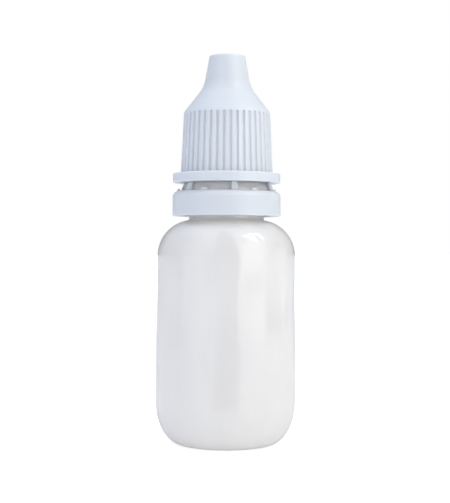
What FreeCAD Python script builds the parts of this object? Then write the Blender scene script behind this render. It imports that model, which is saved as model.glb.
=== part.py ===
"""Ten-millilitre squeeze dropper bottle with a tamper-evident screw cap.

A blow-moulded bottle holds a press-in dropper plug. A fluted cap screws over the plug, and a
tamper ring hangs from the cap by thin bridges and is snapped under a bead on the neck.

Everything turns about the Z axis. Z = 0 is the standing ring of the base. Millimetres.
"""

import FreeCAD, Part  # noqa: E401  FreeCAD has to come first
import math
import os
from FreeCAD import Vector

AXIS = Vector(0, 0, 1)
ORIGIN = Vector(0, 0, 0)

# ---------------------------------------------------------------- common to all pieces
sharp_round = 0.15  # edge left by a mould's parting line
soft_round = 0.3  # edge rounded in the mould
largest_torus = 20.0  # arcs whose centre lies further out than this are drawn as splines

# ---------------------------------------------------------------- bottle body
body_radius = 11.5  # widest, in the lower half
body_waist = 0.2  # how much slimmer the body is under the shoulder
belt_height = 17.0  # the body has its full radius up to here
waist_height = 23.5  # and is slim from here to the shoulder
belt_round = 120.0
wall_height = 30.9  # the shoulder starts here
shoulder_height = 5.85
body_wall = 0.85
base_wall = 1.0
base_corner_width = 4.3
base_corner_height = 7.0
standing_land = 0.7  # width of the flat ring that the bottle stands on
push_up = 0.9  # how far the middle of the base is pushed in
weld_length = 9.0  # pinch-off weld across the middle of the base
weld_width = 0.6
weld_height = 0.35
weld_round = 0.18

# ---------------------------------------------------------------- neck
bore_radius = 4.35  # the plug is pressed in here
bore_length = 7.2
lower_bore_step = 0.35  # the bore opens by this below the plug
neck_wall = 1.1  # under the thread
neck_height = 16.25  # from the shoulder to the rim
neck_inner_fillet = 1.0

# ---------------------------------------------------------------- snap bead on the neck
bead_reach = 1.3  # how far the bead stands out of the plain neck
bead_below = 3.55  # plain neck between the shoulder and the bead
bead_land = 0.7
bead_curve = 2.75  # radius of the rounded lead-in above the bead

# ---------------------------------------------------------------- screw thread
thread_pitch = 3.0
thread_depth = 0.6
thread_root_half = 0.65
thread_tip_half = 0.35
neck_thread_turns = 1.75
neck_thread_start = 8.65  # middle of the neck's thread above the shoulder, at its low end
cap_thread_turns = 1.5
cap_thread_lead = 0.5  # the cap's thread starts this many turns after the neck's
thread_runout = 28.0  # degrees over which each thread end fades out
thread_sink = 0.25  # a thread's root is sunk this far into its wall
thread_tip_gap = 0.15
thread_wall_gap = 0.2
cutter_half_height = 0.45  # of the pitch: the whole ridge, and nothing of its next turn
cutter_reach = 3.0  # times the ridge's depth, to pass well outside it
cutter_past_end = 0.2  # of the run-out, past the thread's end
thread_flank_gap = 0.08

# ---------------------------------------------------------------- dropper plug
plug_flange_overlap = 0.15  # the neck rim shows this much outside the plug's flange
plug_flange_thickness = 0.9
plug_length = 6.4  # sleeve, below the rim
plug_gap = 0.1  # sleeve to bore
plug_wall = 0.85
plug_inner_fillet = 0.6
plug_bite = 0.05  # the sealing beads are this much larger than the bore
plug_bead_height = 0.9
plug_bead_depths = (1.6, 4.4)  # middles of the sealing beads below the rim
nozzle_height = 7.5  # above the plug's flange
nozzle_root_radius = 2.6
nozzle_tip_radius = 1.5
nozzle_root_fillet = 0.6
orifice_radius = 0.45
orifice_length = 4.2
mouth_radius = 0.75
mouth_depth = 0.9

# ---------------------------------------------------------------- screw cap
skirt_over_plug = 0.56  # from the plug's flange to the upper corner of the skirt
skirt_wall = 0.61  # under the flutes, at the top of the skirt
skirt_draft = 0.047  # growth of the radius per millimetre downwards
skirt_bore_draft = 0.02
flute_count = 42
flute_depth = 0.25
flute_width = 0.56
flute_phase = 4.6  # degrees from the front to the middle of the first flute
flute_stop = 0.5  # from the round end of a flute to the corner of the skirt
flute_foot = 0.12  # from the foot of a flute to the flange
shoulder_corner = 1.0
cone_height = 4.16
nose_wall = 0.92
nose_slope = 0.1725  # growth of the radius per millimetre downwards
nose_tip_gap = 0.5  # from the nozzle's tip to the inside of the nose
nose_fillet = 5.0
nose_edge = 0.3
nose_edge_round = 0.255
nose_crown = 0.2
nose_bore_drop = 0.4  # the bore widens this far below the foot of the nose
nozzle_head_gap = 1.3  # from the nozzle's tip to the inside of the top
top_wall = 1.35
pin_clearance = 0.12
pin_length = 2.2
pin_flare = 0.25
inner_step = 0.15  # the cap's bore ends this far above the plug's flange
inner_slope = 0.35  # rise of the cap's inner shoulder per millimetre inwards
seal_ring_wall = 0.6
seal_ring_inset = 0.4  # the plug's flange shows this much outside the sealing ring
flange_thickness = 1.53
flange_fillet = 0.35
flange_bore_gap = 0.2  # to the bead where it passes through the flange
flange_bore_depth = 0.55

# ---------------------------------------------------------------- tamper ring and bridges
ring_gap_below = 0.65  # ring to shoulder
ring_height = 4.1
ring_wall = 1.3
ring_bead_gap = 0.15
ring_top_round = 1.0
ring_top_edge = 0.05
flange_inset = 0.05  # the cap's flange is this much slimmer than the ring
lip_gap = 0.35  # ring lip to plain neck
lip_height = 0.95
lip_under_bead = 0.15
lip_slots = 6
lip_slot_angle = 22.0
bridge_count = 6
bridge_phase = 9.4  # degrees from the front, towards +X
bridge_gap = 1.37  # ring to flange
bridge_foot_width = 1.1
bridge_head_width = 0.75
bridge_thickness = 0.38
bridge_lean = 0.5  # the bridge's head is this much nearer to the axis than its foot
spacer_offset = 24.0  # degrees from each bridge to its spacer nub
spacer_width = 0.9
spacer_height = 0.35
spacer_depth = 0.45

# ---------------------------------------------------------------- places worked out from them
upper_radius = body_radius - body_waist
thread_root = bore_radius + neck_wall
thread_tip = thread_root + thread_depth
neck_radius = thread_tip + 0.1
bead_radius = neck_radius + bead_reach
shoulder_top = wall_height + shoulder_height
bead_bottom = shoulder_top + bead_below
bead_top = bead_bottom + bead_land
rim = shoulder_top + neck_height
plug_top = rim + plug_flange_thickness
nozzle_tip = plug_top + nozzle_height

ring_bottom = shoulder_top + ring_gap_below
ring_top = ring_bottom + ring_height
ring_bore = bead_radius + ring_bead_gap
ring_radius = ring_bore + ring_wall
flange_bottom = ring_top + bridge_gap
flange_top = flange_bottom + flange_thickness
flange_radius = ring_radius - flange_inset

cap_thread_tip = thread_root + thread_tip_gap
cap_bore_top = thread_tip + thread_wall_gap
skirt_top = plug_top + skirt_over_plug
skirt_top_radius = cap_bore_top + skirt_wall + flute_depth
nose_bottom = skirt_top + cone_height
ceiling = nozzle_tip + nozzle_head_gap
cap_top = ceiling + top_wall
nose_top_radius = nozzle_tip_radius + nose_tip_gap + nose_wall


def at(radius, height):
    """A point of a half section, in the XZ plane."""
    return Vector(radius, 0, height)


def line(start, end):
    return Part.makeLine(start, end)


def arc(start, middle, end):
    """An arc; one that would turn into a huge or self-crossing torus is a spline instead."""
    edge = Part.Arc(start, middle, end).toShape()
    centre, radius = edge.Curve.Center.x, edge.Curve.Radius
    on_axis = abs(centre) < 1e-4
    if on_axis or radius <= centre < largest_torus:
        return edge
    return edge.Curve.toBSpline(edge.FirstParameter, edge.LastParameter).toShape()


def dome(height_middle, height_edge, edge_radius):
    """An arc from the axis out to edge_radius, centred on the axis so that it turns as a ball."""
    rise = height_middle - height_edge
    radius = (edge_radius**2 + rise**2) / (2 * rise)
    half = math.asin(edge_radius / radius) / 2
    middle = at(radius * math.sin(half), height_middle - radius * (1 - math.cos(half)))
    return arc(at(0, height_middle), middle, at(edge_radius, height_edge))


def arc_about(centre, radius, first, last):
    """An arc in the XZ plane; the angles are in degrees from +X towards +Z."""
    def spot(angle):
        turn = math.radians(angle)
        return centre + at(radius * math.cos(turn), radius * math.sin(turn))

    return arc(spot(first), spot((first + last) / 2), spot(last))


def ellipse_corner(centre, width, height):
    """The lower right quarter of an ellipse, from its lowest point to its outermost."""
    if width >= height:
        oval = Part.Ellipse(centre + at(width, 0), centre + at(0, height), centre)
    else:
        oval = Part.Ellipse(centre + at(0, height), centre + at(-width, 0), centre)
    lowest = oval.parameter(centre - at(0, height))
    outermost = oval.parameter(centre + at(width, 0))
    quarter = Part.ArcOfEllipse(oval, lowest, outermost)
    if (outermost - lowest) % (2 * math.pi) > math.pi:
        quarter = Part.ArcOfEllipse(oval, outermost, lowest)
    return quarter.toShape()


def rounded(corners):
    """Edges through (radius, height, fillet) corners; each fillet is a tangent arc."""
    points = [at(corner[0], corner[1]) for corner in corners]
    fillets = [corner[2] if len(corner) > 2 else 0 for corner in corners]
    edges, here = [], points[0]
    for before, corner, after, fillet in zip(points, points[1:], points[2:], fillets[1:]):
        if fillet <= 0:
            edges.append(line(here, corner))
            here = corner
            continue
        back = (before - corner).normalize()
        ahead = (after - corner).normalize()
        half = back.getAngle(ahead) / 2
        leave = corner + back * (fillet / math.tan(half))
        join = corner + ahead * (fillet / math.tan(half))
        inward = (back + ahead).normalize()
        middle = corner + inward * (fillet / math.sin(half) - fillet)
        if (leave - here).Length > 1e-6:
            edges.append(line(here, leave))
        edges.append(arc(leave, middle, join))
        here = join
    edges.append(line(here, points[-1]))
    return edges


def turned(edges):
    """The solid made by turning a closed half section about the axis."""
    face = Part.Face(Part.Wire(Part.sortEdges(edges)[0]))
    solid = face.revolve(ORIGIN, AXIS, 360)
    if solid.Volume < 0:
        solid.reverse()
    return Part.Solid(solid.Shells[0]) if solid.ShapeType != "Solid" else solid


def spun(shape, angle):
    """A copy of the shape turned about the axis."""
    copy = shape.copy()
    copy.rotate(ORIGIN, AXIS, angle)
    return copy


def around(shape, count, first=0.0):
    """Copies of the shape, evenly spaced about the axis."""
    return [spun(shape, first + 360 * number / count) for number in range(count)]


def thread(root, tip, low_middle, turns, first_angle):
    """A helical ridge from its root radius to its tip radius, with faded ends.

    The tip may lie outside the root, as on the neck, or inside it, as in the cap.
    """
    outward = 1 if tip > root else -1
    sunk_root = root - outward * thread_sink
    slope = (thread_root_half - thread_tip_half) / abs(tip - root)
    sunk_half = thread_root_half + slope * thread_sink
    corners = [
        at(sunk_root, -sunk_half),
        at(tip, -thread_tip_half),
        at(tip, thread_tip_half),
        at(sunk_root, sunk_half),
    ]
    profile = Part.makePolygon(corners + corners[:1])
    path = Part.Wire(Part.makeLongHelix(thread_pitch, thread_pitch * turns, root))
    ridge = path.makePipeShell([profile], True, True)
    for end_angle, side in ((0.0, 1), (360.0 * turns, -1)):
        ridge = ridge.cut(runout_cutter(root, tip, end_angle, side))
    ridge.translate(Vector(0, 0, low_middle))
    return spun(ridge, first_angle)


def runout_cutter(root, tip, end_angle, side):
    """Cuts one thread end to a ramp: a prism whose slanting wall meets the root at the end."""
    ramp = math.radians(thread_runout) * side
    end = math.radians(end_angle)
    past_end = end - ramp * cutter_past_end
    middle = thread_pitch * end_angle / 360
    reach = thread_pitch * cutter_half_height
    far = tip + (tip - root) * cutter_reach

    def spot(radius, angle):
        return Vector(radius * math.cos(angle), radius * math.sin(angle), middle - reach)

    outline = [
        spot(root, end),
        spot(tip, end + ramp),
        spot(far, end + ramp),
        spot(far, past_end),
        spot(root, past_end),
    ]
    prism = Part.Face(Part.makePolygon(outline + outline[:1]))
    return prism.extrude(Vector(0, 0, 2 * reach))


def shoulder_curve():
    """(centre radius, arc radius) of the shoulder: tangent to the wall, ending on the neck."""
    width = upper_radius - neck_radius
    arc_radius = (width**2 + shoulder_height**2) / (2 * width)
    return upper_radius - arc_radius, arc_radius


def curve_height(centre_radius, arc_radius, radius):
    """Height on the shoulder's circle above its centre, at a radius."""
    return math.sqrt(arc_radius**2 - (radius - centre_radius) ** 2)


def shoulder_arc(centre_radius, arc_radius, end_radius):
    """The shoulder from the wall to end_radius, as one arc."""
    rise = curve_height(centre_radius, arc_radius, end_radius)
    last = math.degrees(math.atan2(rise, end_radius - centre_radius))
    return arc_about(at(centre_radius, wall_height), arc_radius, 0, last)


def make_bottle():
    """Blow-moulded body, neck, snap bead and thread, in one piece."""
    centre, curve = shoulder_curve()
    corner_radius = body_radius - base_corner_width
    land_inner = corner_radius - standing_land

    # Outside, from the middle of the base to the rim.
    outside = [dome(push_up, 0, land_inner), line(at(land_inner, 0), at(corner_radius, 0))]
    outside.append(
        ellipse_corner(at(corner_radius, base_corner_height), base_corner_width, base_corner_height)
    )
    outside += rounded(
        [
            (body_radius, base_corner_height),
            (body_radius, belt_height, belt_round),
            (upper_radius, waist_height, belt_round),
            (upper_radius, wall_height),
        ]
    )
    foot_radius = neck_radius + soft_round
    foot_height = wall_height + curve_height(centre, curve, foot_radius)
    outside.append(shoulder_arc(centre, curve, foot_radius))
    lead_in_end = bead_top + math.sqrt(
        bead_curve**2 - (thread_root - bead_radius + bead_curve) ** 2
    )
    end_angle = math.degrees(math.asin((lead_in_end - bead_top) / bead_curve))
    outside.append(
        arc_about(at(foot_radius, foot_height + soft_round), soft_round, 270, 180)
    )
    outside += rounded(
        [
            (neck_radius, foot_height + soft_round),
            (neck_radius, bead_bottom, sharp_round),
            (bead_radius, bead_bottom, sharp_round),
            (bead_radius, bead_top),
        ]
    )
    outside.append(
        arc_about(at(bead_radius - bead_curve, bead_top), bead_curve, 0, end_angle)
    )

    # Over the rim and back down the inside to the middle of the floor.
    lower_bore = bore_radius + lower_bore_step
    inner_curve = curve - body_wall
    inner_foot = lower_bore + neck_inner_fillet
    inner_foot_height = wall_height + curve_height(centre, inner_curve, inner_foot)
    inside = rounded(
        [
            (thread_root, lead_in_end),
            (thread_root, rim, soft_round),
            (bore_radius, rim, soft_round),
            (bore_radius, rim - bore_length),
            (lower_bore, rim - bore_length - 2 * lower_bore_step),
            (lower_bore, inner_foot_height + neck_inner_fillet),
        ]
    )
    inside.append(
        arc_about(
            at(inner_foot, inner_foot_height + neck_inner_fillet), neck_inner_fillet, 180, 270
        )
    )
    inside.append(shoulder_arc(centre, inner_curve, inner_foot))
    inside += rounded(
        [
            (upper_radius - body_wall, wall_height),
            (upper_radius - body_wall, waist_height, belt_round),
            (body_radius - body_wall, belt_height, belt_round),
            (body_radius - body_wall, base_corner_height),
        ]
    )
    inside.append(
        ellipse_corner(
            at(corner_radius, base_corner_height),
            base_corner_width - body_wall,
            base_corner_height - base_wall,
        )
    )
    inside.append(dome(base_wall + push_up, base_wall, corner_radius))
    axis_edge = line(at(0, push_up), at(0, push_up + base_wall))
    bottle = turned(outside + inside + [axis_edge])

    ridge = thread(
        thread_root, thread_tip, shoulder_top + neck_thread_start, neck_thread_turns, 0
    )
    weld = Part.makeBox(
        weld_length,
        weld_width,
        weld_height + base_wall / 2,
        Vector(-weld_length / 2, -weld_width / 2, push_up - weld_height),
    )
    weld = weld.makeFillet(weld_round, lower_edges(weld))
    return bottle.fuse([ridge, weld]).Solids[0]


def lower_edges(box):
    """The four edges round the underside of an upright box."""
    low = box.BoundBox.ZMin
    return [edge for edge in box.Edges if edge.BoundBox.ZMax < low + 1e-6]


def make_dropper_plug():
    """Press-in plug: sleeve with sealing beads, flange on the rim, nozzle and drop channel."""
    sleeve = bore_radius - plug_gap
    bottom = rim - plug_length
    brim = thread_root - plug_flange_overlap
    hollow = sleeve - plug_wall
    channel_bottom = nozzle_tip - mouth_depth - orifice_length

    outline = rounded(
        [
            (hollow, bottom),
            (sleeve, bottom, soft_round),
            (sleeve, rim),
            (brim, rim, sharp_round),
            (brim, plug_top, soft_round),
            (nozzle_root_radius, plug_top, nozzle_root_fillet),
            (nozzle_tip_radius, nozzle_tip, soft_round),
            (mouth_radius, nozzle_tip),
            (orifice_radius, nozzle_tip - mouth_depth),
            (orifice_radius, channel_bottom),
            (nozzle_root_radius - plug_wall, plug_top - plug_wall, plug_inner_fillet),
            (hollow, rim - plug_wall, plug_inner_fillet),
            (hollow, bottom),
        ]
    )
    plug = turned(outline)
    beads = [plug_bead(sleeve, rim - depth) for depth in plug_bead_depths]
    return plug.fuse(beads).removeSplitter()


def plug_bead(sleeve, middle):
    """One rounded sealing bead round the sleeve."""
    half = plug_bead_height / 2
    crest = bore_radius + plug_bite
    edges = [
        arc(at(sleeve, middle - half), at(crest, middle), at(sleeve, middle + half)),
        line(at(sleeve, middle + half), at(sleeve - plug_wall / 2, middle + half)),
        line(
            at(sleeve - plug_wall / 2, middle + half),
            at(sleeve - plug_wall / 2, middle - half),
        ),
        line(at(sleeve - plug_wall / 2, middle - half), at(sleeve, middle - half)),
    ]
    return turned(edges)


def bead_radius_at(height):
    """Radius of the rounded lead-in above the neck's bead, at a height."""
    drop = max(bead_curve**2 - (height - bead_top) ** 2, 0.0)
    return bead_radius - bead_curve + math.sqrt(drop)


def skirt_radius(height):
    """Outside of the skirt, over the ribs between the flutes."""
    return skirt_top_radius + (skirt_top - height) * skirt_draft


def make_screw_cap():
    """Fluted cap with flange, thread, nose, sealing ring and the pin that stops the nozzle."""
    nose_bottom_radius = nose_top_radius + (cap_top - nose_bottom) * nose_slope
    crown_radius = nose_top_radius - nose_edge
    crown_edge = cap_top - nose_crown
    flange_bore = max(bead_radius_at(flange_bottom), thread_tip) + flange_bore_gap
    skirt_bore_low = cap_bore_top + (plug_top - flange_top) * skirt_bore_draft
    bore_step = flange_bottom + flange_bore_depth
    bore_top = plug_top + inner_step
    seal_outer = thread_root - plug_flange_overlap - seal_ring_inset
    seal_inner = seal_outer - seal_ring_wall
    outer_root = bore_top + (cap_bore_top - seal_outer) * inner_slope
    inner_root = bore_top + (cap_bore_top - seal_inner) * inner_slope
    nose_bore_top = nozzle_tip_radius + nose_tip_gap
    outline = [dome(cap_top, crown_edge, crown_radius)]
    outline += rounded(
        [
            (crown_radius, crown_edge),
            (nose_top_radius, crown_edge - nose_edge * nose_slope, nose_edge_round),
            (nose_bottom_radius, nose_bottom, nose_fillet),
            (skirt_radius(skirt_top), skirt_top, shoulder_corner),
            (skirt_radius(flange_top), flange_top, flange_fillet),
            (flange_radius, flange_top, sharp_round),
            (flange_radius, flange_bottom, sharp_round),
            (flange_bore, flange_bottom, sharp_round),
            (flange_bore, bore_step),
            (skirt_bore_low, bore_step + (flange_bore - skirt_bore_low)),
            (cap_bore_top, plug_top),
            (cap_bore_top, bore_top, sharp_round),
            (seal_outer, outer_root, sharp_round),
            (seal_outer, plug_top),
            (seal_inner, plug_top),
            (seal_inner, inner_root, sharp_round),
            (nose_bottom_radius - nose_wall, nose_bottom - nose_bore_drop, nose_wall),
            (nose_bore_top, ceiling, soft_round),
            (pin_radius(0) + pin_flare, ceiling, sharp_round),
            (pin_radius(0), ceiling - pin_flare),
            (pin_radius(pin_length), ceiling - pin_length, sharp_round),
            (0, ceiling - pin_length),
        ]
    )
    cap = turned(outline + [line(at(0, ceiling - pin_length), at(0, cap_top))])

    start = shoulder_top + neck_thread_start + cap_thread_lead * thread_pitch
    ridge = thread(
        skirt_bore_low,
        cap_thread_tip,
        start - bearing_drop(skirt_bore_low),
        cap_thread_turns,
        360 * cap_thread_lead,
    )
    return cap.fuse(ridge).cut(flutes()).removeSplitter()


def pin_radius(depth):
    """Radius of the sealing pin at a depth below the ceiling."""
    entry = mouth_radius - pin_clearance
    reach = nozzle_head_gap + mouth_depth
    tip = orifice_radius - pin_clearance
    share = max(0.0, depth - nozzle_head_gap) / (reach - nozzle_head_gap)
    return entry + (tip - entry) * min(1.0, share)


def bearing_drop(thread_wall):
    """How far the cap's thread sits under the neck's, flank to flank with the set gap."""
    middle = (cap_thread_tip + thread_tip) / 2
    neck_share = (middle - thread_root) / thread_depth
    cap_share = (thread_wall - middle) / (thread_wall - cap_thread_tip)
    narrowing = thread_root_half - thread_tip_half
    neck_half = thread_root_half - narrowing * neck_share
    cap_half = thread_root_half - narrowing * cap_share
    return neck_half + cap_half + thread_flank_gap


def flutes():
    """Round-bottomed grooves down the skirt, as one compound of cutters."""
    half = flute_width / 2
    cutter_radius = (half**2 + flute_depth**2) / (2 * flute_depth)
    stand_off = cutter_radius - flute_depth
    low = Vector(skirt_radius(flange_top) + stand_off, 0, flange_top + flute_foot)
    high = Vector(skirt_radius(skirt_top) + stand_off, 0, skirt_top - flute_stop)
    run = high - low
    groove = Part.makeCylinder(cutter_radius, run.Length, low, run)
    groove = groove.fuse(Part.makeSphere(cutter_radius, high))
    front = -90 + flute_phase
    return Part.makeCompound(around(groove, flute_count, front))


def make_tamper_ring():
    """Ring with a slotted lip under the neck's bead and spacer nubs on its top."""
    lip_top = bead_bottom - lip_under_bead
    lip_bottom = lip_top - lip_height
    lip_radius = neck_radius + lip_gap
    ring = turned(
        rounded(
            [
                (ring_bore, (lip_top + ring_top) / 2),
                (ring_bore, ring_top, ring_top_edge),
                (ring_radius, ring_top, ring_top_round),
                (ring_radius, ring_bottom, sharp_round),
                (ring_bore, ring_bottom, sharp_round),
                (ring_bore, lip_bottom - (ring_bore - lip_radius) * 0.6),
                (lip_radius, lip_bottom, 0.1),
                (lip_radius, lip_top, 0.1),
                (ring_bore, lip_top),
                (ring_bore, (lip_top + ring_top) / 2),
            ]
        )
    )
    slot_width = 2 * lip_radius * math.sin(math.radians(lip_slot_angle / 2))
    slot = Part.makeBox(ring_radius, slot_width, ring_height, Vector(0, -slot_width / 2, ring_bottom))
    slot = slot.common(Part.makeCylinder(ring_bore, ring_height, Vector(0, 0, ring_bottom)))
    ring = ring.cut(around(slot, lip_slots, front_of_bridge()))

    nub_low = ring_top - ring_top_round / 2
    nub = Part.makeBox(
        spacer_depth,
        spacer_width,
        ring_top + spacer_height - nub_low,
        Vector(ring_radius - ring_top_round - spacer_depth / 2, -spacer_width / 2, nub_low),
    )
    upper = [edge for edge in nub.Edges if edge.BoundBox.ZMin > ring_top]
    nub = nub.makeFillet(spacer_depth / 4, upper)
    nubs = around(nub, bridge_count, front_of_bridge() + spacer_offset)
    return ring.fuse(nubs).removeSplitter()


def front_of_bridge():
    """Angle of the first bridge about the axis, from +X; the front is -Y."""
    return -90 + bridge_phase


def make_bridges():
    """Thin leaning tabs that hold the ring to the cap's flange until it is first opened."""
    foot = ring_bore + ring_top_edge
    head = foot - bridge_lean
    half_foot, half_head = bridge_foot_width / 2, bridge_head_width / 2

    def plate(radius_low, radius_high):
        return [
            Vector(radius_low, -half_foot, ring_top),
            Vector(radius_low, half_foot, ring_top),
            Vector(radius_high, half_head, flange_bottom),
            Vector(radius_high, -half_head, flange_bottom),
        ]

    inner = plate(foot, head)
    outer = plate(foot + bridge_thickness, head + bridge_thickness)
    faces = [Part.makePolygon(side + side[:1]) for side in (inner, outer)]
    bridge = Part.makeLoft(faces, True, True)
    return Part.makeCompound(around(bridge, bridge_count, front_of_bridge()))


def save(name, shape):
    """Writes one sub-part and says how big it is."""
    shape.exportStep(os.path.join("parts", name + ".step"))
    box = shape.BoundBox
    print(
        f"{name:18s} valid {shape.isValid()} solids {len(shape.Solids)} "
        f"volume {shape.Volume:8.1f} z {box.ZMin:.2f} to {box.ZMax:.2f}"
    )


def main():
    os.makedirs("parts", exist_ok=True)
    save("bottle", make_bottle())
    save("dropper_plug", make_dropper_plug())
    save("screw_cap", make_screw_cap())
    save("tamper_ring", make_tamper_ring())
    save("frangible_bridges", make_bridges())


main()
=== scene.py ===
"""Looks for the ten-millilitre squeeze dropper bottle: materials, studio light and camera."""

import math

import bpy
from mathutils import Matrix, Vector

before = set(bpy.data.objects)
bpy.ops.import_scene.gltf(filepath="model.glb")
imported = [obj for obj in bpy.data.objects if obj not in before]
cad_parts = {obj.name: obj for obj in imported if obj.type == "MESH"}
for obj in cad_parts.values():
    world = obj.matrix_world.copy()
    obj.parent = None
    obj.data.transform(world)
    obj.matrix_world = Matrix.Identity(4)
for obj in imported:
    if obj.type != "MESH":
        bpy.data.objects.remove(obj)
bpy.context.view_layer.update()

MM = 0.001

# ---------------------------------------------------------------- camera
camera_distance = 198 * MM  # from the bottle's axis
camera_height = 32.5 * MM  # about the middle of the bottle
lens = 85.9
# In degrees
look_down = 0.26
look_left = 0.06
camera_roll = 0.34

# ---------------------------------------------------------------- materials
light_let_through = 0.5  # share of light that goes on through a face of milky polyethylene
skin_gloss = 1.0  # twice the usual level, because only half of each face is skin
polyethylene_ior = 1.51
polypropylene_ior = 1.49
# A bump's depth is for the noise's full range, of which it uses only the middle part.
cloud_size = 9 * MM  # where the blown wall is thicker or thinner
handling_size = 5 * MM  # duller patches
wave_size = 7 * MM
wave_depth = 1.2 * MM
die_line_size = 1.2 * MM
die_line_depth = 0.08 * MM
flow_mark_size = 2 * MM
flow_mark_depth = 0.02 * MM
pigment_streak_size = 4 * MM
pit_size = 0.2 * MM
pit_depth = 0.008 * MM
edge_glow_depth = 0.9 * MM  # how far light goes into the white plastic

# ---------------------------------------------------------------- studio
floor_reach = 4.0  # metres from the bottle
floor_glow = 0.1  # light that the table adds to the bottle, as a light table does
floor_glow_seen = 0.45  # and what the eye sees of it, so that the table is white all over
# Colour and strength of the room's light from each side of the bottle
room_sides = {
    "left": ((-1, 0, 0), "#F6F3FF", 0.42),
    "right": ((1, 0, 0), "#FFEFD0", 0.25),
    "front": ((0, -1, 0), "#FBFAFF", 1.06),
    "back": ((0, 1, 0), "#FFFFFF", 0.20),
    "above": ((0, 0, 1), "#E8F2FF", 1.88),
}
# A dark curtain in front takes light away there: half width and soft edge, in degrees
dark_curtain_half_width = 20.0
dark_curtain_edge = 4.0
dark_curtain_dimming = 0.95
# The dark card on the table, as distances in front of the bottle's axis and above the table
card_near = 50 * MM
card_far = 450 * MM
card_lift = 0.5 * MM
# The windows: azimuth and elevation in degrees, width and height in metres, power, colour
soft_box_distance = 0.5
soft_boxes = {
    "front_window": (47, 18, (0.38, 0.36), 0.76, "#FFF9EF"),
    "left_window": (-55, 12, (0.34, 0.36), 0.24, "#F8F8FF"),
    "right_window": (65, 51, (0.08, 0.20), 0.40, "#FFFBF4"),
    "right_strip": (107, 4, (0.02, 0.22), 0.03, "#FFFFFF"),
    "left_strip": (-88, 12, (0.03, 0.05), 0.02, "#F4F8FF"),
}


def linear(code):
    """An sRGB hex colour as linear RGBA."""
    channels = [int(code[place : place + 2], 16) / 255 for place in (1, 3, 5)]

    def undo(value):
        return value / 12.92 if value <= 0.04045 else ((value + 0.055) / 1.055) ** 2.4

    return tuple(undo(value) for value in channels) + (1.0,)


def add(tree, kind, links=None, **settings):
    """Adds a node. Links go from a socket to this node's input, by name or number.

    Settings are the node's own properties, or the values of its inputs with _ for a space.
    """
    made = tree.nodes.new(kind)
    for name, value in settings.items():
        if hasattr(made, name):
            setattr(made, name, value)
        else:
            made.inputs[name.replace("_", " ")].default_value = value
    for name, source in (links or {}).items():
        tree.links.new(source, made.inputs[name])
    return made


def new_material(name):
    """An empty node material and its output node."""
    material = bpy.data.materials.new(name)
    material.use_nodes = True
    tree = material.node_tree
    tree.nodes.clear()
    return material, tree, tree.nodes.new("ShaderNodeOutputMaterial")


def give(material, *nodes):
    """Puts a material on every face of some CAD nodes."""
    for node in nodes:
        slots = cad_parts[node].data.materials
        slots.clear()
        slots.append(material)


def milky_wall(tree, output, skin, milk):
    """Lets part of the light through the wall, spread out as milky plastic spreads it."""
    through = add(tree, "ShaderNodeBsdfTranslucent", {"Color": milk.outputs["Result"]})
    wall = add(tree, "ShaderNodeMixShader", {1: skin.outputs[0], 2: through.outputs[0]})
    wall.inputs[0].default_value = light_let_through
    tree.links.new(wall.outputs[0], output.inputs[0])


def blow_moulded_ldpe():
    """Natural low-density polyethylene blown into a polished mould.

    It is milky: light goes into the wall, scatters and comes out all round, so the body glows
    evenly. The skin is softly glossy and a little wavy, because the wall cools unevenly, with
    faint upright die lines from the tube that it was blown from.
    """
    material, tree, output = new_material("natural_ldpe_blow_moulded")
    place = add(tree, "ShaderNodeTexCoord").outputs["Object"]

    # Clouding where the wall is thicker or thinner, in patches drawn out upright
    drawn_out = add(tree, "ShaderNodeMapping", {"Vector": place}, Scale=(1.0, 1.0, 0.45))
    cloud = add(
        tree,
        "ShaderNodeTexNoise",
        {"Vector": drawn_out.outputs[0]},
        Scale=1 / cloud_size,
        Detail=3.0,
        Roughness=0.55,
    )
    milk = add(tree, "ShaderNodeMix", {"Factor": cloud.outputs[0]}, data_type="RGBA")
    milk.inputs["A"].default_value = linear("#FCFBFA")
    milk.inputs["B"].default_value = linear("#F7F6F5")

    # Gloss: a little duller where it was handled
    handling = add(
        tree,
        "ShaderNodeTexNoise",
        {"Vector": place},
        Scale=1 / handling_size,
        Detail=5.0,
        Roughness=0.6,
    )
    gloss = add(tree, "ShaderNodeMapRange", {"Value": handling.outputs[0]}, To_Min=0.09, To_Max=0.17)

    # The skin's waves, drawn deeper than on a real bottle, so that they show in what it reflects
    waves = add(
        tree,
        "ShaderNodeTexNoise",
        {"Vector": drawn_out.outputs[0]},
        Scale=1 / wave_size,
        Detail=1.0,
        Roughness=0.4,
    )
    wavy = add(tree, "ShaderNodeBump", {"Height": waves.outputs[0]}, Distance=wave_depth)

    # Die lines, drawn coarser and deeper than real ones, so that they show
    upright = add(tree, "ShaderNodeMapping", {"Vector": place}, Scale=(1.0, 1.0, 0.02))
    lines = add(
        tree,
        "ShaderNodeTexNoise",
        {"Vector": upright.outputs[0]},
        Scale=1 / die_line_size,
        Detail=2.0,
    )
    lined = add(
        tree,
        "ShaderNodeBump",
        {"Height": lines.outputs[0], "Normal": wavy.outputs[0]},
        Distance=die_line_depth,
    )

    skin = add(
        tree,
        "ShaderNodeBsdfPrincipled",
        {
            "Base Color": milk.outputs["Result"],
            "Roughness": gloss.outputs[0],
            "Normal": lined.outputs[0],
        },
        IOR=polyethylene_ior,
        Specular_IOR_Level=skin_gloss,
        Coat_Weight=1.0,
        Coat_Roughness=0.06,
    )
    milky_wall(tree, output, skin, milk)
    return material


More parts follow.
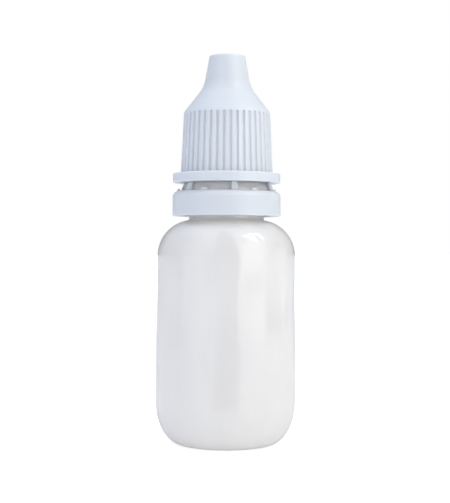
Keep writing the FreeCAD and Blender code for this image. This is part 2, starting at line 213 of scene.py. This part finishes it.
def moulded_ldpe():
    """Natural low-density polyethylene, injection-moulded: as milky, smoother and glossier."""
    material, tree, output = new_material("natural_ldpe_injection_moulded")
    place = add(tree, "ShaderNodeTexCoord").outputs["Object"]

    # Flow marks from the gate
    flow = add(
        tree, "ShaderNodeTexNoise", {"Vector": place}, Scale=1 / flow_mark_size, Detail=3.0
    )
    milk = add(tree, "ShaderNodeMix", {"Factor": flow.outputs[0]}, data_type="RGBA")
    milk.inputs["A"].default_value = linear("#FDFDFC")
    milk.inputs["B"].default_value = linear("#F6F6F5")
    gloss = add(tree, "ShaderNodeMapRange", {"Value": flow.outputs[0]}, To_Min=0.2, To_Max=0.3)
    sink = add(tree, "ShaderNodeBump", {"Height": flow.outputs[0]}, Distance=flow_mark_depth)

    skin = add(
        tree,
        "ShaderNodeBsdfPrincipled",
        {
            "Base Color": milk.outputs["Result"],
            "Roughness": gloss.outputs[0],
            "Normal": sink.outputs[0],
        },
        IOR=polyethylene_ior,
    )
    milky_wall(tree, output, skin, milk)
    return material


def white_polypropylene():
    """White polypropylene, injection-moulded in a spark-eroded mould.

    White pigment makes it nearly opaque, with a faint glow at thin edges. The mould's fine
    pits give it a satin face.
    """
    material, tree, output = new_material("white_polypropylene_moulded")
    place = add(tree, "ShaderNodeTexCoord").outputs["Object"]

    # Pigment streaks
    pigment = add(
        tree, "ShaderNodeTexNoise", {"Vector": place}, Scale=1 / pigment_streak_size, Detail=4.0
    )
    white = add(tree, "ShaderNodeMix", {"Factor": pigment.outputs[0]}, data_type="RGBA")
    white.inputs["A"].default_value = linear("#D6DBE1")
    white.inputs["B"].default_value = linear("#CFD4DA")

    # Spark-eroded pits are some 0.05 mm across. They are drawn at 0.2 mm, so that they show.
    pits = add(
        tree,
        "ShaderNodeTexNoise",
        {"Vector": place},
        Scale=1 / pit_size,
        Detail=2.0,
        Roughness=0.6,
    )
    pitted = add(tree, "ShaderNodeBump", {"Height": pits.outputs[0]}, Distance=pit_depth)
    satin = add(tree, "ShaderNodeMapRange", {"Value": pigment.outputs[0]}, To_Min=0.3, To_Max=0.42)

    shader = add(
        tree,
        "ShaderNodeBsdfPrincipled",
        {
            "Base Color": white.outputs["Result"],
            "Roughness": satin.outputs[0],
            "Normal": pitted.outputs[0],
        },
        IOR=polypropylene_ior,
        Subsurface_Weight=0.7,
        Subsurface_Radius=(1.0, 1.0, 1.0),
        Subsurface_Scale=edge_glow_depth,
    )
    tree.links.new(shader.outputs[0], output.inputs[0])
    return material


def seamless_floor():
    """A wide white floor without an edge in view."""
    mesh = bpy.data.meshes.new("floor")
    sides = ((-1, -1), (1, -1), (1, 1), (-1, 1))
    corners = [(x * floor_reach, y * floor_reach, 0) for x, y in sides]
    mesh.from_pydata(corners, [], [(0, 1, 2, 3)])
    floor = bpy.data.objects.new("floor", mesh)
    bpy.context.scene.collection.objects.link(floor)
    material, tree, output = new_material("white_paper_floor")
    paper = add(tree, "ShaderNodeBsdfDiffuse", Color=linear("#F4F4F4"))
    path = add(tree, "ShaderNodeLightPath")
    lift = add(
        tree,
        "ShaderNodeMapRange",
        {"Value": path.outputs["Is Camera Ray"]},
        To_Min=floor_glow,
        To_Max=floor_glow_seen,
    )
    glow = add(tree, "ShaderNodeEmission", {"Strength": lift.outputs[0]}, Color=linear("#FFFFFF"))
    lit = add(tree, "ShaderNodeAddShader", {0: paper.outputs[0], 1: glow.outputs[0]})
    tree.links.new(lit.outputs[0], output.inputs[0])
    mesh.materials.append(material)


def dark_card():
    """A dark card on the table in front, which draws a soft dark stripe down the glossy body."""
    spread = math.tan(math.radians(dark_curtain_half_width))
    ends = ((-1, card_near), (1, card_near), (1, card_far), (-1, card_far))
    corners = [(side * out * spread, -out, card_lift) for side, out in ends]
    mesh = bpy.data.meshes.new("dark_card")
    mesh.from_pydata(corners, [], [(3, 2, 1, 0)])
    card = bpy.data.objects.new("dark_card", mesh)
    bpy.context.scene.collection.objects.link(card)
    material, tree, output = new_material("grey_felt")
    felt = add(tree, "ShaderNodeBsdfDiffuse", Color=linear("#4A4A4C"))
    tree.links.new(felt.outputs[0], output.inputs[0])
    mesh.materials.append(material)
    # Only the gloss sees it: it shades neither the table nor the rest of the bottle
    card.visible_camera = False
    card.visible_diffuse = False
    card.visible_transmission = False
    card.visible_shadow = False


def light_from_sides(tree, direction):
    """The room's light by direction: each side's colour, fading to its neighbours' round it."""
    total = None
    for way, colour, strength in room_sides.values():
        facing = add(tree, "ShaderNodeVectorMath", {0: direction}, operation="DOT_PRODUCT")
        facing.inputs[1].default_value = way
        ahead = add(tree, "ShaderNodeMath", {0: facing.outputs["Value"]}, operation="MAXIMUM")
        ahead.inputs[1].default_value = 0.0
        share = add(
            tree,
            "ShaderNodeMath",
            {0: ahead.outputs[0], 1: ahead.outputs[0]},
            operation="MULTIPLY",
        )
        tint = [channel * strength for channel in linear(colour)[:3]]
        added = add(tree, "ShaderNodeVectorMath", {0: share.outputs[0]}, operation="MULTIPLY_ADD")
        added.inputs[1].default_value = tint
        if total is not None:
            tree.links.new(total, added.inputs[2])
        total = added.outputs[0]
    return total


def past_dark_curtain(tree, direction):
    """How much of the room's light is left: all of it beside the dark curtain, little at it."""
    parts = add(tree, "ShaderNodeSeparateXYZ", {0: direction})
    toward = add(tree, "ShaderNodeMath", {0: parts.outputs["Y"]}, operation="MULTIPLY")
    toward.inputs[1].default_value = -1.0
    azimuth = add(
        tree,
        "ShaderNodeMath",
        {0: parts.outputs["X"], 1: toward.outputs[0]},
        operation="ARCTAN2",
    )
    aside = add(tree, "ShaderNodeMath", {0: azimuth.outputs[0]}, operation="ABSOLUTE")
    return add(
        tree,
        "ShaderNodeMapRange",
        {"Value": aside.outputs[0]},
        interpolation_type="SMOOTHSTEP",
        From_Min=math.radians(dark_curtain_half_width - dark_curtain_edge),
        From_Max=math.radians(dark_curtain_half_width + dark_curtain_edge),
        To_Min=1 - dark_curtain_dimming,
        To_Max=1.0,
    ).outputs[0]


def room_light():
    """Soft light from all round; what the camera sees directly is plain white."""
    world = bpy.data.worlds.new("room")
    world.use_nodes = True
    tree = world.node_tree
    tree.nodes.clear()
    direction = add(tree, "ShaderNodeTexCoord").outputs["Generated"]
    seen = add(tree, "ShaderNodeBackground", Color=(1, 1, 1, 1), Strength=1.0)
    lit = add(
        tree,
        "ShaderNodeBackground",
        {
            "Color": light_from_sides(tree, direction),
            "Strength": past_dark_curtain(tree, direction),
        },
    )
    path = add(tree, "ShaderNodeLightPath")
    either = add(
        tree,
        "ShaderNodeMixShader",
        {0: path.outputs["Is Camera Ray"], 1: lit.outputs[0], 2: seen.outputs[0]},
    )
    add(tree, "ShaderNodeOutputWorld", {0: either.outputs[0]})
    bpy.context.scene.world = world


def soft_box(name, azimuth, elevation, size, power, colour):
    """A flat oblong light that faces the bottle. Azimuth 0 is the camera's side, 90 the right."""
    around, up = math.radians(azimuth), math.radians(elevation)
    way = Vector(
        (math.sin(around) * math.cos(up), -math.cos(around) * math.cos(up), math.sin(up))
    )
    data = bpy.data.lights.new(name, "AREA")
    data.shape = "RECTANGLE"
    data.size, data.size_y = size
    data.energy = power
    data.color = linear(colour)[:3]
    lamp = bpy.data.objects.new(name, data)
    bpy.context.scene.collection.objects.link(lamp)
    lamp.location = Vector((0, 0, camera_height)) + way * soft_box_distance
    lamp.rotation_mode = "QUATERNION"
    lamp.rotation_quaternion = way.to_track_quat("Z", "Y")
    lamp.visible_camera = False


def studio():
    """The floor, the dark card, the room's light and the windows that the bottle reflects."""
    seamless_floor()
    dark_card()
    room_light()
    for name, values in soft_boxes.items():
        soft_box(name, *values)
    scene = bpy.context.scene
    scene.view_settings.view_transform = "Standard"
    # Light crosses the milky walls many times before it comes out
    scene.cycles.max_bounces = 32
    scene.cycles.diffuse_bounces = 16
    scene.cycles.transmission_bounces = 24


def portrait_camera():
    """A short telephoto camera, about level with the middle of the bottle."""
    data = bpy.data.cameras.new("camera")
    data.lens = lens
    data.clip_start, data.clip_end = 10 * MM, 10.0
    camera = bpy.data.objects.new("camera", data)
    bpy.context.scene.collection.objects.link(camera)
    upright = Matrix.Rotation(math.radians(90 - look_down), 4, "X")
    aside = Matrix.Rotation(math.radians(look_left), 4, "Z")
    roll = Matrix.Rotation(math.radians(camera_roll), 4, "Z")
    place = Matrix.Translation((0, -camera_distance, camera_height))
    camera.matrix_world = place @ aside @ upright @ roll
    bpy.context.scene.camera = camera


give(blow_moulded_ldpe(), "bottle")
give(moulded_ldpe(), "dropper_plug")
give(white_polypropylene(), "screw_cap", "tamper_ring", "frangible_bridges")
studio()
portrait_camera()
